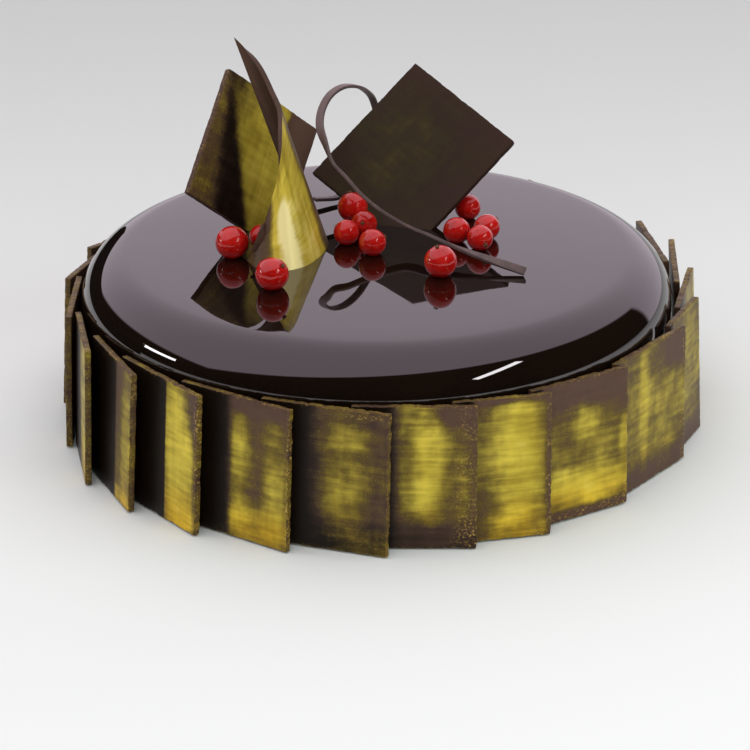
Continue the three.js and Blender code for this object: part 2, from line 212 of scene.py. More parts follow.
class Bench:
    """One node tree being wired."""

    def __init__(self, tree):
        self.tree = tree

    def give(self, node, inputs):
        """Links each input to the socket it names, or sets it there as a plain value."""
        for key, value in inputs.items():
            if isinstance(value, bpy.types.NodeSocket):
                self.tree.links.new(value, node.inputs[key])
            else:
                node.inputs[key].default_value = value

    def add(self, kind, inputs=(), **settings):
        node = self.tree.nodes.new(kind)
        for name, value in settings.items():
            setattr(node, name, value)
        self.give(node, dict(inputs))
        return node

    def out(self, kind, inputs=(), **settings):
        """First output of a new node."""
        return self.add(kind, inputs, **settings).outputs[0]

    def math(self, operation, *values):
        return self.out("ShaderNodeMath", dict(enumerate(values)), operation=operation)

    def plus(self, first, second):
        return self.math("ADD", first, second)

    def minus(self, first, second):
        return self.math("SUBTRACT", first, second)

    def times(self, first, second):
        return self.math("MULTIPLY", first, second)

    def vector_math(self, operation, *values):
        return self.out("ShaderNodeVectorMath", dict(enumerate(values)), operation=operation)

    def scaled(self, vector, factor):
        return self.out("ShaderNodeVectorMath", {0: vector, "Scale": factor}, operation="SCALE")

    def ramp(self, value, start, end, low=0.0, high=1.0):
        sockets = {"Value": value, 1: start, 2: end, 3: low, 4: high}
        return self.out("ShaderNodeMapRange", sockets, interpolation_type="SMOOTHSTEP")

    def blend(self, share, first, second):
        return self.add("ShaderNodeMix", {0: share, 6: first, 7: second}, data_type="RGBA").outputs[2]

    def mixed(self, share, first, second):
        return self.out("ShaderNodeMix", {0: share, 2: first, 3: second}, data_type="FLOAT")

    def noise(self, vector, scale, detail=3.0, roughness=0.5):
        sockets = {"Vector": vector, "Scale": scale, "Detail": detail, "Roughness": roughness}
        return self.out("ShaderNodeTexNoise", sockets)

    def stretched(self, vector, stretch):
        return self.out("ShaderNodeMapping", {"Vector": vector, "Scale": stretch})

    def parts(self, vector):
        return self.add("ShaderNodeSeparateXYZ", {"Vector": vector}).outputs

    def bump(self, height, strength, distance):
        sockets = {"Height": height, "Strength": strength, "Distance": distance}
        return self.out("ShaderNodeBump", sockets)


def open_shape_tree(name, **inputs):
    """Starts a tree that takes a guide and the named inputs, by kind. Gives its bench and inputs."""
    tree = bpy.data.node_groups.new(name, "GeometryNodeTree")
    tree.is_modifier = True
    tree.interface.new_socket("Guide", in_out="INPUT", socket_type="NodeSocketGeometry")
    for kind, labels in inputs.items():
        for label in labels:
            tree.interface.new_socket(label, in_out="INPUT", socket_type="NodeSocket" + kind)
    tree.interface.new_socket("Shape", in_out="OUTPUT", socket_type="NodeSocketGeometry")
    bench = Bench(tree)
    return bench, bench.add("NodeGroupInput").outputs


def moved(bench, geometry, position):
    return bench.out("GeometryNodeSetPosition", {"Geometry": geometry, "Position": position})


def painted(bench, geometry, material):
    return bench.out("GeometryNodeSetMaterial", {"Geometry": geometry, "Material": material})


def close_shape_tree(bench, geometry):
    """Ends a shape tree in realised instances, shaded smooth, and returns it."""
    smooth = bench.out("GeometryNodeSetShadeSmooth", {"Geometry": geometry})
    real = bench.out("GeometryNodeRealizeInstances", {"Geometry": smooth})
    bench.add("NodeGroupOutput", {"Shape": real})
    return bench.tree


def stored(bench, geometry, name, value, kind="FLOAT"):
    """The geometry with a named value at each of its points."""
    sockets = {"Geometry": geometry, "Name": name, "Value": value}
    return bench.out("GeometryNodeStoreNamedAttribute", sockets, data_type=kind, domain="POINT")


def joined(bench, *parts):
    whole = bench.add("GeometryNodeJoinGeometry")
    for part in parts:
        bench.tree.links.new(part, whole.inputs[0])
    return whole.outputs[0]


def add_wall(bench, sheet, thickness):
    """Gives a sheet a thickness behind its face, and marks the face with the attribute outer."""
    face = stored(bench, sheet, "outer", 1.0)
    back = stored(bench, sheet, "outer", 0.0)
    flipped = bench.out("GeometryNodeFlipFaces", {"Mesh": back})
    walls = bench.out(
        "GeometryNodeExtrudeMesh",
        {"Mesh": flipped, "Offset Scale": thickness, "Individual": False},
        mode="FACES",
    )
    both = joined(bench, face, walls)
    return bench.out("GeometryNodeMergeByDistance", {"Geometry": both, "Distance": MERGED_WITHIN})


def grid_place(bench, rows):
    """Column and row of each point of a grid that has this many points in a column."""
    index = bench.out("GeometryNodeInputIndex")
    column = bench.math("FLOOR", bench.math("DIVIDE", bench.plus(index, 0.5), rows))
    row = bench.minus(index, bench.times(column, rows))
    return column, row


def guide_point(bench, guide, index):
    """Place of one numbered point of the guide."""
    position = bench.out("GeometryNodeInputPosition")
    sockets = {"Geometry": guide, "Value": position, "Index": index}
    return bench.out("GeometryNodeSampleIndex", sockets, data_type="FLOAT_VECTOR", domain="POINT")


def guide_count(bench, guide):
    return bench.out("GeometryNodeAttributeDomainSize", {"Geometry": guide}, component="MESH")


def from_z_axis(bench, x, y):
    squares = bench.plus(bench.times(x, x), bench.times(y, y))
    return bench.math("SQRT", squares)


# ---- Shapes ----

def turned_body_tree():
    """Turns the guide, a half outline in the XZ plane, once round the Z axis."""
    bench, given = open_shape_tree("Turned body", Int=["Steps"], Material=["Finish"])
    rows = guide_count(bench, given["Guide"])
    columns = bench.plus(given["Steps"], 1.0)
    grid = bench.out("GeometryNodeMeshGrid", {"Vertices X": columns, "Vertices Y": rows})
    column, row = grid_place(bench, rows)
    outline = guide_point(bench, given["Guide"], row)
    angle = bench.times(bench.math("DIVIDE", column, given["Steps"]), 2 * math.pi)
    turned = bench.out(
        "ShaderNodeVectorRotate", {"Vector": outline, "Angle": angle}, rotation_type="Z_AXIS"
    )
    body = moved(bench, grid, turned)
    sockets = {"Geometry": body, "Distance": 2 * MERGED_WITHIN}
    closed = bench.out("GeometryNodeMergeByDistance", sockets)
    return close_shape_tree(bench, painted(bench, closed, given["Finish"]))


def chocolate_plate_tree():
    """A flat plate with ragged edges. Its face is at Z = 0 and its lower left corner at the origin."""
    measures = ["Width", "Height", "Thickness", "Spacing", "Raggedness", "Unevenness", "Seed"]
    bench, given = open_shape_tree("Chocolate plate", Float=measures, Material=["Finish"])
    counts = [
        bench.math("ROUND", bench.math("DIVIDE", given[side], given["Spacing"]))
        for side in ("Width", "Height")
    ]
    grid = bench.out("GeometryNodeMeshGrid", {
        "Size X": given["Width"],
        "Size Y": given["Height"],
        "Vertices X": counts[0],
        "Vertices Y": counts[1],
    })
    position = bench.out("GeometryNodeInputPosition")
    parts = bench.parts(position)
    places = [
        bench.plus(parts[axis], bench.times(given[side], 0.5))
        for axis, side in ((0, "Width"), (1, "Height"))
    ]
    shares = [
        bench.math("DIVIDE", place, given[side]) for place, side in zip(places, ("Width", "Height"))
    ]

    def ragged(along, edge):
        """How far an edge is broken back, coarse bites with fine crumbs on them."""
        offset = bench.plus(given["Seed"], EDGES_APART * edge)
        total = 0.0
        for frequency, share in ((160, 0.55), (620, 0.45)):
            place = bench.plus(bench.times(along, frequency), offset)
            sockets = {"W": place, "Scale": 1.0, "Detail": 2.0}
            wave = bench.out("ShaderNodeTexNoise", sockets, noise_dimensions="1D")
            bite = bench.times(bench.ramp(wave, 0.42, 0.78), share)
            total = bench.plus(bite, total)
        return bench.times(total, given["Raggedness"])

    broken = []
    for axis in (0, 1):
        along = places[1 - axis]
        near = bench.times(ragged(along, 2 * axis + 1), bench.minus(1.0, shares[axis]))
        far = bench.times(ragged(along, 2 * axis + 2), shares[axis])
        broken.append(bench.minus(bench.plus(places[axis], near), far))
    shift = bench.out("ShaderNodeCombineXYZ", {2: bench.times(given["Seed"], SEEDS_APART)})
    seeded = bench.vector_math("ADD", position, shift)
    # The waves only dip in behind the face.
    dip = bench.minus(bench.noise(seeded, 70.0, 2.0), 1.0)
    depth = bench.times(dip, given["Unevenness"])
    target = bench.out("ShaderNodeCombineXYZ", {0: broken[0], 1: broken[1], 2: depth})
    sheet = moved(bench, grid, target)
    plate = add_wall(bench, sheet, given["Thickness"])
    return close_shape_tree(bench, painted(bench, plate, given["Finish"]))


def ruled_sheet_tree():
    """A sheet of even thickness between two lines. The guide holds one line's points, then the other's."""
    bench, given = open_shape_tree("Ruled sheet", Int=["Rows"], Float=["Thickness"], Material=["Finish"])
    columns = bench.times(guide_count(bench, given["Guide"]), 0.5)
    grid = bench.out("GeometryNodeMeshGrid", {"Vertices X": columns, "Vertices Y": given["Rows"]})
    column, row = grid_place(bench, given["Rows"])
    share = bench.math("DIVIDE", row, bench.minus(given["Rows"], 1.0))
    first = guide_point(bench, given["Guide"], column)
    second = guide_point(bench, given["Guide"], bench.plus(column, columns))
    reach = bench.scaled(bench.vector_math("SUBTRACT", second, first), share)
    ruled = bench.vector_math("ADD", first, reach)
    along = bench.math("DIVIDE", column, bench.minus(columns, 1.0))
    place = bench.out("ShaderNodeCombineXYZ", {0: along, 1: share})
    marked = stored(bench, grid, "sheet_place", place, "FLOAT_VECTOR")
    middle = moved(bench, marked, ruled)
    normal = bench.out("GeometryNodeInputNormal")
    half = bench.times(given["Thickness"], 0.5)
    face = bench.out(
        "GeometryNodeSetPosition", {"Geometry": middle, "Offset": bench.scaled(normal, half)}
    )
    sheet = add_wall(bench, face, given["Thickness"])
    return close_shape_tree(bench, painted(bench, sheet, given["Finish"]))


def currant_tree():
    """A ribbed berry round the origin with its dry calyx at +Z."""
    finishes = ["Skin", "Calyx"]
    bench, given = open_shape_tree("Currant", Float=["Radius", "Seed"], Int=["Sepals"], Material=finishes)
    ball = bench.out("GeometryNodeMeshUVSphere", {"Segments": 60, "Rings": 36, "Radius": 1.0})
    position = bench.out("GeometryNodeInputPosition")
    x, y, z = bench.parts(position)
    across = from_z_axis(bench, x, y)
    turn = bench.math("ARCTAN2", y, x)
    ribs = bench.times(bench.math("COSINE", bench.times(turn, CURRANT_RIBS)), across)
    offset = bench.out("ShaderNodeCombineXYZ", {0: given["Seed"]})
    lumps = bench.minus(bench.noise(bench.vector_math("ADD", position, offset), 1.1, 1.0), 0.5)
    dimple = bench.times(bench.ramp(across, 0.34, 0.0), bench.ramp(z, 0.0, 0.2))
    # Shares of the radius: a dimple round the calyx, faint ribs and lumps.
    size = bench.minus(0.985, bench.times(dimple, 0.05))
    size = bench.plus(size, bench.times(ribs, 0.004))
    size = bench.plus(size, bench.times(lumps, 0.03))
    shaped = bench.scaled(bench.scaled(position, size), given["Radius"])
    body = moved(bench, ball, shaped)
    skin = painted(bench, body, given["Skin"])

    stub = bench.out("GeometryNodeMeshCone", {
        "Vertices": 10, "Radius Top": 0.42 * MM, "Radius Bottom": 0.6 * MM, "Depth": 0.7 * MM,
    })
    sepal = bench.out("GeometryNodeMeshCone", {
        "Vertices": 5, "Side Segments": 3, "Radius Top": 0.04 * MM, "Radius Bottom": 0.24 * MM,
        "Depth": 0.75 * MM,
    })
    ring = bench.out("GeometryNodeMeshCircle", {"Vertices": given["Sepals"], "Radius": 0.38 * MM})
    ring_index = bench.out("GeometryNodeInputIndex")
    heading = bench.times(bench.math("DIVIDE", ring_index, given["Sepals"]), 2 * math.pi)
    lean = bench.out("ShaderNodeCombineXYZ", {1: 0.45, 2: heading})
    sepals = bench.out(
        "GeometryNodeInstanceOnPoints", {"Points": ring, "Instance": sepal, "Rotation": lean}
    )
    raised = bench.out("GeometryNodeTransform", {"Geometry": sepals, "Translation": (0, 0, 0.25 * MM)})
    tuft = joined(bench, stub, raised)
    real_tuft = bench.out("GeometryNodeRealizeInstances", {"Geometry": tuft})
    height = bench.times(given["Radius"], 0.93)
    seat = bench.out("ShaderNodeCombineXYZ", {2: height})
    seated = bench.out("GeometryNodeTransform", {"Geometry": real_tuft, "Translation": seat})
    dry = painted(bench, seated, given["Calyx"])
    return close_shape_tree(bench, joined(bench, dry, skin))


def new_object(name, data):
    """An object of the scene."""
    thing = bpy.data.objects.new(name, data)
    bpy.context.scene.collection.objects.link(thing)
    return thing


def make_piece(name, tree, guide_points, inputs, edge_round=0.0):
    """Runs a shape tree on its guide points and returns the result as an object with a plain mesh."""
    guide = bpy.data.meshes.new(name + ".guide")
    guide.from_pydata([tuple(point) for point in guide_points], [], [])
    source = new_object(name + ".source", guide)
    shape = source.modifiers.new("shape", "NODES")
    shape.node_group = tree
    for item in tree.interface.items_tree:
        if item.in_out == "INPUT" and item.name in inputs:
            shape[item.identifier] = inputs[item.name]
    if edge_round:
        rounding = source.modifiers.new("rounding", "BEVEL")
        rounding.width = edge_round
        rounding.segments = 2
        rounding.limit_method = "ANGLE"
        rounding.angle_limit = math.radians(50)
    graph = bpy.context.evaluated_depsgraph_get()
    mesh = bpy.data.meshes.new_from_object(
        source.evaluated_get(graph), preserve_all_data_layers=True, depsgraph=graph
    )
    bpy.data.objects.remove(source)
    bpy.data.meshes.remove(guide)
    mesh.name = name
    return new_object(name, mesh)


def settle(piece, node):
    """The finished piece stands for its CAD node."""
    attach(piece, "root")
    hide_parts(node)


# ---- Reading the frame ----

def node_points(node):
    return np.array([vertex.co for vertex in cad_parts[node].data.vertices], float)


def widest_face(node, facing):
    """Outward direction, points and depth of a plate's large face that looks the way given."""
    polygons = [
        (polygon.area, np.array(polygon.normal))
        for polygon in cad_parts[node].data.polygons
        if np.dot(polygon.normal, facing) > 0.2
    ]
    largest = max(polygons, key=lambda entry: entry[0])[1]
    near = [area * normal for area, normal in polygons if normal @ largest > SAME_DIRECTION]
    outward = np.sum(near, axis=0)
    outward /= np.linalg.norm(outward)
    points = node_points(node)
    depth = points @ outward
    return outward, points[depth > depth.max() - FACE_DEPTH], depth.max() - depth.min()


def plate_matrix(corner, across, up, outward):
    matrix = Matrix.Identity(4)
    for column, axis in enumerate((across, up, outward, corner)):
        for row in range(3):
            matrix[row][column] = axis[row]
    return matrix


def panel_seat(node):
    """Placing, width, height and thickness of a side panel's outer face."""
    centre = node_points(node).mean(0)
    facing = np.array([centre[0], centre[1], 0.0])
    outward, face, thickness = widest_face(node, facing / np.linalg.norm(facing))
    up = np.array([0.0, 0.0, 1.0]) - outward[2] * outward
    up /= np.linalg.norm(up)
    across = np.cross(up, outward)
    low = np.array([(face @ across).min(), (face @ up).min(), (face @ outward).max()])
    corner = low[0] * across + low[1] * up + low[2] * outward
    width = (face @ across).max() - low[0]
    height = (face @ up).max() - low[1]
    return plate_matrix(corner, across, up, outward), width, height, thickness


def plaque_seat(node):
    """Placing, width, height and thickness of a square that stands on one corner and faces the front."""
    outward, face, thickness = widest_face(node, np.array([0.0, -1.0, 0.0]))
    top = face[face[:, 2].argmax()]
    right = face[face[:, 0].argmax()]
    left = face[face[:, 0].argmin()]
    across = (right - top) / np.linalg.norm(right - top)
    up = np.cross(outward, across)
    width = np.linalg.norm(right - top)
    height = np.linalg.norm(top - left)
    corner = top - up * height
    return plate_matrix(corner, across, up, outward), width, height, thickness


def currant_seat(node):
    """Centre, radius and calyx direction of a currant."""
    points = node_points(node)
    middle = points.mean(0)
    local = points - middle
    on_skin = np.ones(len(local), bool)
    for _ in range(5):
        system = np.c_[2 * local[on_skin], np.ones(on_skin.sum())]
        solution = np.linalg.lstsq(system, (local[on_skin] ** 2).sum(1), rcond=None)[0]
        centre = solution[:3]
        radius = math.sqrt(solution[3] + centre @ centre)
        distance = np.linalg.norm(local - centre, axis=1)
        on_skin = abs(distance - radius) < SKIN_TOLERANCE * radius
    tuft = local[distance > CALYX_FROM * radius] - centre
    direction = tuft.mean(0)
    return centre + middle, radius, direction / np.linalg.norm(direction)


# ---- Finishes ----

def new_finish(name):
    """A material and the bench that wires it, with its principled shader."""
    material = bpy.data.materials.new(name)
    material.use_nodes = True
    material.node_tree.nodes.clear()
    bench = Bench(material.node_tree)
    shader = bench.add("ShaderNodeBsdfPrincipled")
    bench.add("ShaderNodeOutputMaterial", {"Surface": shader.outputs[0]})
    return material, bench, shader


def object_place(bench):
    return bench.add("ShaderNodeTexCoord").outputs["Object"]


def mirror_glaze():
    """Dark chocolate glaze, poured and set to a mirror."""
    material, bench, shader = new_finish("mirror glaze")
    place = object_place(bench)
    depth = bench.noise(place, 28.0)
    colour = bench.blend(depth, (0.0045, 0.0025, 0.0014, 1), (0.009, 0.005, 0.0028, 1))
    ripple = bench.times(bench.noise(place, 34.0, 1.0), GLAZE_RIPPLE)
    x, y, _ = bench.parts(place)
    from_axis = bench.math("SMOOTH_MIN", from_z_axis(bench, x, y), MIRROR_EDGE, MIRROR_EDGE_SOFTNESS)
    flattening = 0.5 / CROWN_RADIUS - 0.5 / MIRROR_CROWN_RADIUS
    rise = bench.times(bench.times(from_axis, from_axis), flattening)
    roughness = bench.ramp(bench.noise(place, 240.0, 2.0), 0.35, 0.75, 0.015, 0.03)
    bench.give(shader, {
        "Base Color": colour,
        "Roughness": roughness,
        "IOR": 1.76,
        "Specular Tint": (1.0, 0.955, 0.985, 1),
        "Normal": bench.bump(bench.plus(ripple, rise), 1.0, 1.0),
    })
    return material


def brushed_chocolate(name, tones, patchiness, bump_strength):
    """Dark chocolate brushed with brown dust and gold powder, as its brushwork attributes say."""
    material, bench, shader = new_finish(name)
    tones = {tone: (*colour, 1) for tone, colour in tones.items()}

    def brushwork(attribute):
        return bench.add("ShaderNodeAttribute", attribute_name=attribute)

    place = brushwork("brush_place").outputs["Vector"]
    gold, dust, warmth, crumbs, strokes = [
        brushwork(each).outputs["Fac"] for each in ("gold", "dust", "warmth", "crumbs", "strokes")
    ]

    sideways = bench.noise(bench.stretched(place, (75.0, 620.0, 400.0)), 1.0)
    upright = bench.noise(bench.stretched(place, (420.0, 45.0, 300.0)), 1.0, 2.0)
    mottle = bench.noise(place, 300.0, 5.0, 0.6)
    cloud = bench.noise(place, 90.0)
    grains = bench.noise(place, 2300.0, 3.0, 0.7)

    brushed = bench.mixed(strokes, upright, sideways)
    texture = bench.plus(bench.times(brushed, 0.55), bench.times(mottle, 0.45))
    texture = bench.minus(texture, 0.5)
    loaded = bench.plus(gold, bench.times(texture, patchiness))
    loaded = bench.plus(loaded, bench.times(bench.minus(cloud, 0.5), 0.8))
    cover = bench.ramp(loaded, 0.15, 1.2)
    scatter = bench.times(bench.ramp(grains, 0.56, 0.7), bench.ramp(loaded, -0.25, 0.4))
    cover = bench.math("MAXIMUM", cover, bench.times(scatter, 0.42))

    dusted = bench.plus(dust, bench.times(texture, 0.9))
    # The darkest tone is ungilded chocolate as black as it looks in shade, so it carries painted shade.
    ground = bench.blend(bench.ramp(dusted, 0.0, 1.0), tones["bare"], tones["dust"])
    shade = bench.ramp(bench.mixed(0.5, cloud, brushed), 0.3, 0.7)
    cool_gold = bench.blend(shade, tones["dark gold"], tones["light gold"])
    warm_gold = bench.blend(shade, tones["dark warm gold"], tones["light warm gold"])
    powder = bench.blend(warmth, cool_gold, warm_gold)
    # Gold lies pale where it is thickest, and this pale gold also makes painted highlights.
    powder = bench.blend(bench.ramp(loaded, 1.25, 2.1), powder, tones["thick gold and highlight"])
    hazed = bench.blend(bench.ramp(loaded, -0.15, 0.45), ground, tones["thin gold"])
    gilded = bench.blend(cover, hazed, powder)

    patches = bench.ramp(bench.noise(place, 170.0, 2.0), 0.38, 0.6, 0.25, 1.0)
    crumb = bench.ramp(bench.noise(place, 1300.0, 3.0, 0.6), 0.52, 0.6)
    crumb = bench.times(bench.times(crumb, patches), crumbs)
    crumb_tone = bench.blend(bench.ramp(grains, 0.3, 0.65), tones["bare"], tones["crumbs"])
    colour = bench.blend(crumb, gilded, crumb_tone)

    height = bench.plus(bench.times(cover, 0.35), bench.times(mottle, 0.7))
    height = bench.plus(height, bench.times(crumb, 0.9))
    bench.give(shader, {
        "Base Color": colour,
        "Metallic": bench.times(cover, 0.45),
        "Roughness": bench.mixed(cover, 0.42, bench.ramp(upright, 0.25, 0.75, 0.36, 0.5)),
        "Specular IOR Level": 0.18,
        "Normal": bench.bump(height, bump_strength, 0.0002),
    })
    return material


def gilded_chocolate():
    """Dark chocolate with brown dust and bright gold, as on the panels and the gilded plaques."""
    return brushed_chocolate("gilded chocolate", {
        "bare": (0.008, 0.0045, 0.0022),
        "dust": (0.100, 0.056, 0.036),
        "thin gold": (0.110, 0.074, 0.012),
        "dark gold": (0.42, 0.315, 0.028),
        "light gold": (0.80, 0.655, 0.080),
        "dark warm gold": (0.46, 0.25, 0.010),
        "light warm gold": (0.95, 0.66, 0.040),
        "thick gold and highlight": (0.92, 0.84, 0.36),
        "crumbs": (0.66, 0.43, 0.09),
    }, patchiness=1.35, bump_strength=0.35)


def satin_chocolate():
    """Dark chocolate with a faint bloom of gold, as on the right plaque."""
    return brushed_chocolate("satin chocolate", {
        "bare": (0.004, 0.0022, 0.001),
        "dust": (0.036, 0.015, 0.008),
        "thin gold": (0.024, 0.016, 0.003),
        "dark gold": (0.030, 0.021, 0.003),
        "light gold": (0.105, 0.082, 0.014),
        "dark warm gold": (0.06, 0.035, 0.008),
        "light warm gold": (0.12, 0.08, 0.02),
        "thick gold and highlight": (0.16, 0.13, 0.03),
        "crumbs": (0.11, 0.065, 0.025),
    }, patchiness=0.9, bump_strength=0.2)


def strip_chocolate():
    """Satin chocolate with a greyish bloom, as on the curled strip, its dust paler as painted sheen."""
    return brushed_chocolate("strip chocolate", {
        "bare": (0.010, 0.007, 0.006),
        # The dust is bloom, made lighter than bloom alone as painted sheen along the strip.
        "dust": (0.165, 0.120, 0.112),
        "thin gold": (0.060, 0.042, 0.026),
        "dark gold": (0.060, 0.045, 0.022),
        "light gold": (0.20, 0.16, 0.08),
        "dark warm gold": (0.10, 0.06, 0.03),
        "light warm gold": (0.20, 0.14, 0.06),
        "thick gold and highlight": (0.25, 0.20, 0.10),
        "crumbs": (0.14, 0.10, 0.06),
    }, patchiness=0.8, bump_strength=0.2)


def currant_skin():
    """Taut, shiny red skin that lets light in, with pale veins from pole to pole."""
    material, bench, shader = new_finish("currant skin")
    veins = bench.add("ShaderNodeAttribute", attribute_name="vein").outputs["Fac"]
    place = object_place(bench)
    blotch = bench.noise(place, 260.0)
    flesh = bench.blend(blotch, (0.30, 0.003, 0.003, 1), (0.66, 0.012, 0.008, 1))
    colour = bench.blend(bench.times(veins, 0.14), flesh, (0.62, 0.07, 0.03, 1))
    bench.give(shader, {
        "Base Color": colour,
        "Subsurface Weight": 0.4,
        "Subsurface Radius": (1.0, 0.12, 0.06),
        "Subsurface Scale": 0.0018,
        "Roughness": bench.ramp(blotch, 0.3, 0.7, 0.14, 0.24),
        "Coat Weight": 0.5,
        "Coat Roughness": 0.06,
        "IOR": 1.42,
        "Normal": bench.bump(blotch, 0.08, 0.0002),
    })
    return material


def dry_calyx():
    """Dry brown remains of the flower."""
    material, bench, shader = new_finish("dry calyx")
    fibres = bench.noise(object_place(bench), 1800.0, 4.0)
    bench.give(shader, {
        "Base Color": bench.blend(fibres, (0.05, 0.022, 0.010, 1), (0.20, 0.105, 0.045, 1)),
        "Roughness": bench.ramp(fibres, 0.3, 0.7, 0.6, 0.85),
        "Normal": bench.bump(fibres, 0.6, 0.0001),
    })
    return material


def pale_floor():
    """Plain pale studio floor, matt enough not to mirror what stands round it, painted darker towards the
    back as shade.
    """
    material, bench, shader = new_finish("pale floor")
    place = object_place(bench)
    distance = bench.parts(place)["Y"]
    # Painted shade: the floor's colour darkens towards the back as if the light fell off.
    painted_falloff = bench.ramp(distance, -0.25, 0.6)
    bench.give(shader, {
        "Base Color": bench.blend(painted_falloff, (0.80, 0.875, 0.815, 1), (0.59, 0.65, 0.60, 1)),
        "Roughness": bench.ramp(bench.noise(place, 3.0, 1.0), 0.3, 0.7, 0.84, 0.88),
        "Specular IOR Level": 0.1,
    })
    return material


# ---- Brushwork on the pieces ----

def set_attribute(mesh, name, kind, values):
    attribute = mesh.attributes.new(name, kind, "POINT")
    key = "vector" if kind == "FLOAT_VECTOR" else "value"
    attribute.data.foreach_set(key, np.ascontiguousarray(values, np.float32).ravel())


def get_attribute(mesh, name, width=1):
    values = np.zeros(len(mesh.vertices) * width, np.float32)
    mesh.attributes[name].data.foreach_get("vector" if width == 3 else "value", values)
    return values.reshape(-1, width) if width > 1 else values


def local_points(mesh):
    values = np.zeros(len(mesh.vertices) * 3, np.float32)
    mesh.vertices.foreach_get("co", values)
    return values.reshape(-1, 3).astype(float)


def dabbed(across, up, dabs):
    """How thick the powder lies that a list of soft dabs leaves at each point."""
    powder = np.zeros(len(across))
    for middle, height, half_width, half_height, strength in dabs:
        away = ((across - middle) / half_width) ** 2 + ((up - height) / half_height) ** 2
        powder += strength * np.exp(-0.7 * away ** 1.5)
    return powder


def soft_step(values, start, end):
    share = np.clip((values - start) / (end - start), 0, 1)
    return share * share * (3 - 2 * share)


def brush(piece, place, seed, gold, dust, warmth=0.0, crumbs=0.0, strokes=0.2, back_gold=-0.35):
    """Stores what the brushed finish reads. The back has brown dust, and gold as back_gold says."""
    mesh = piece.data
    count = len(mesh.vertices)
    outer = get_attribute(mesh, "outer") > 0.5
    brushwork = {
        "gold": np.where(outer, gold, back_gold),
        "dust": np.where(outer, dust, 0.6),
        "warmth": np.broadcast_to(warmth, count),
        "crumbs": np.broadcast_to(crumbs, count),
        "strokes": np.broadcast_to(strokes, count),
    }
    for name, values in brushwork.items():
        set_attribute(mesh, name, "FLOAT", values)
    set_attribute(mesh, "brush_place", "FLOAT_VECTOR", place + np.array(BRUSHWORK_SHIFT) * seed)


def unseen_brushwork(number):
    """A panel round the back, brushed by the same hand."""
    rng = np.random.default_rng(number)
    band = (
        rng.uniform(0.35, 0.7), 0.55, rng.uniform(0.15, 0.4), rng.uniform(0.35, 0.6),
        rng.uniform(0.6, 1.1),
    )
    foot = (rng.uniform(0.4, 0.7), 0.1, rng.uniform(0.3, 0.5), 0.12, rng.uniform(0.2, 0.9))
    top = (0.5, 1.0, 0.8, 0.08, -0.6)
    return dict(bare=(rng.uniform(0.0, 0.2), rng.uniform(0.05, 0.25)), dust=0.8, dabs=[band, foot, top])


# ---- Pieces ----

def body_outline(radius):
    """Half outline of the glazed body, from the middle of its base up to the middle of its top."""
    centre_radius = radius - SHOULDER_RADIUS
    crown_angle = math.asin(centre_radius / (CROWN_RADIUS - SHOULDER_RADIUS))
    crown_centre = SHOULDER_CENTRE_HEIGHT + (SHOULDER_RADIUS - CROWN_RADIUS) * math.cos(crown_angle)
    quarter = math.pi / 2

    def arc(centre_r, centre_z, bend, start, end, steps):
        """Points on an arc, from the one after its start."""
        angles = np.linspace(start, end, steps)[1:]
        return [(centre_r + bend * math.cos(a), centre_z + bend * math.sin(a)) for a in angles]

    base = [(r, 0.0) for r in np.linspace(0, radius - BASE_EDGE_RADIUS, 12)]
    base_edge = arc(radius - BASE_EDGE_RADIUS, BASE_EDGE_RADIUS, BASE_EDGE_RADIUS, -quarter, 0, 6)
    side = [(radius, z) for z in np.linspace(BASE_EDGE_RADIUS, SHOULDER_CENTRE_HEIGHT, 20)[1:]]
    shoulder = arc(
        centre_radius, SHOULDER_CENTRE_HEIGHT, SHOULDER_RADIUS, 0, quarter - crown_angle, 48
    )
    crown = arc(0, crown_centre, CROWN_RADIUS, quarter - crown_angle, quarter, 40)
    return [(r, 0.0, z) for r, z in base + base_edge + side + shoulder + crown]


def glaze_height(x, y):
    """Height of the glaze under a point on the crowned top."""
    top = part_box("glazed_cake")[1].z
    return top - CROWN_RADIUS + math.sqrt(CROWN_RADIUS ** 2 - x ** 2 - y ** 2)


def make_glazed_cake(tree, finish):
    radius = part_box("glazed_cake")[1].x
    piece = make_piece("mirror_glazed_cake", tree, body_outline(radius), {
        "Steps": TURNED_STEPS,
        "Finish": finish,
    })
    settle(piece, "glazed_cake")


def left_edge_of_shown_part(number, matrix):
    """How far along a panel its left neighbour's free edge lies in front of it."""
    neighbour = number - 1 or sum(name.startswith("side_panel_") for name in ALL_NODES)
    seat, width, height, thickness = panel_seat(f"side_panel_{neighbour:02d}")
    free_edge = seat @ Vector((width, height / 2, -thickness))
    return (matrix.inverted() @ free_edge).x


def make_plate(name, tree, finish, size, raggedness, unevenness, seed):
    """A plate with its lower left corner at the origin, and the places of its points."""
    width, height, thickness = size
    piece = make_piece(name, tree, [(0, 0, 0)], {
        "Width": width,
        "Height": height,
        "Thickness": thickness,
        "Spacing": PLATE_SPACING,
        "Raggedness": raggedness,
        "Unevenness": unevenness,
        "Seed": float(seed),
        "Finish": finish,
    }, edge_round=PLATE_EDGE_ROUND)
    return piece, local_points(piece.data)


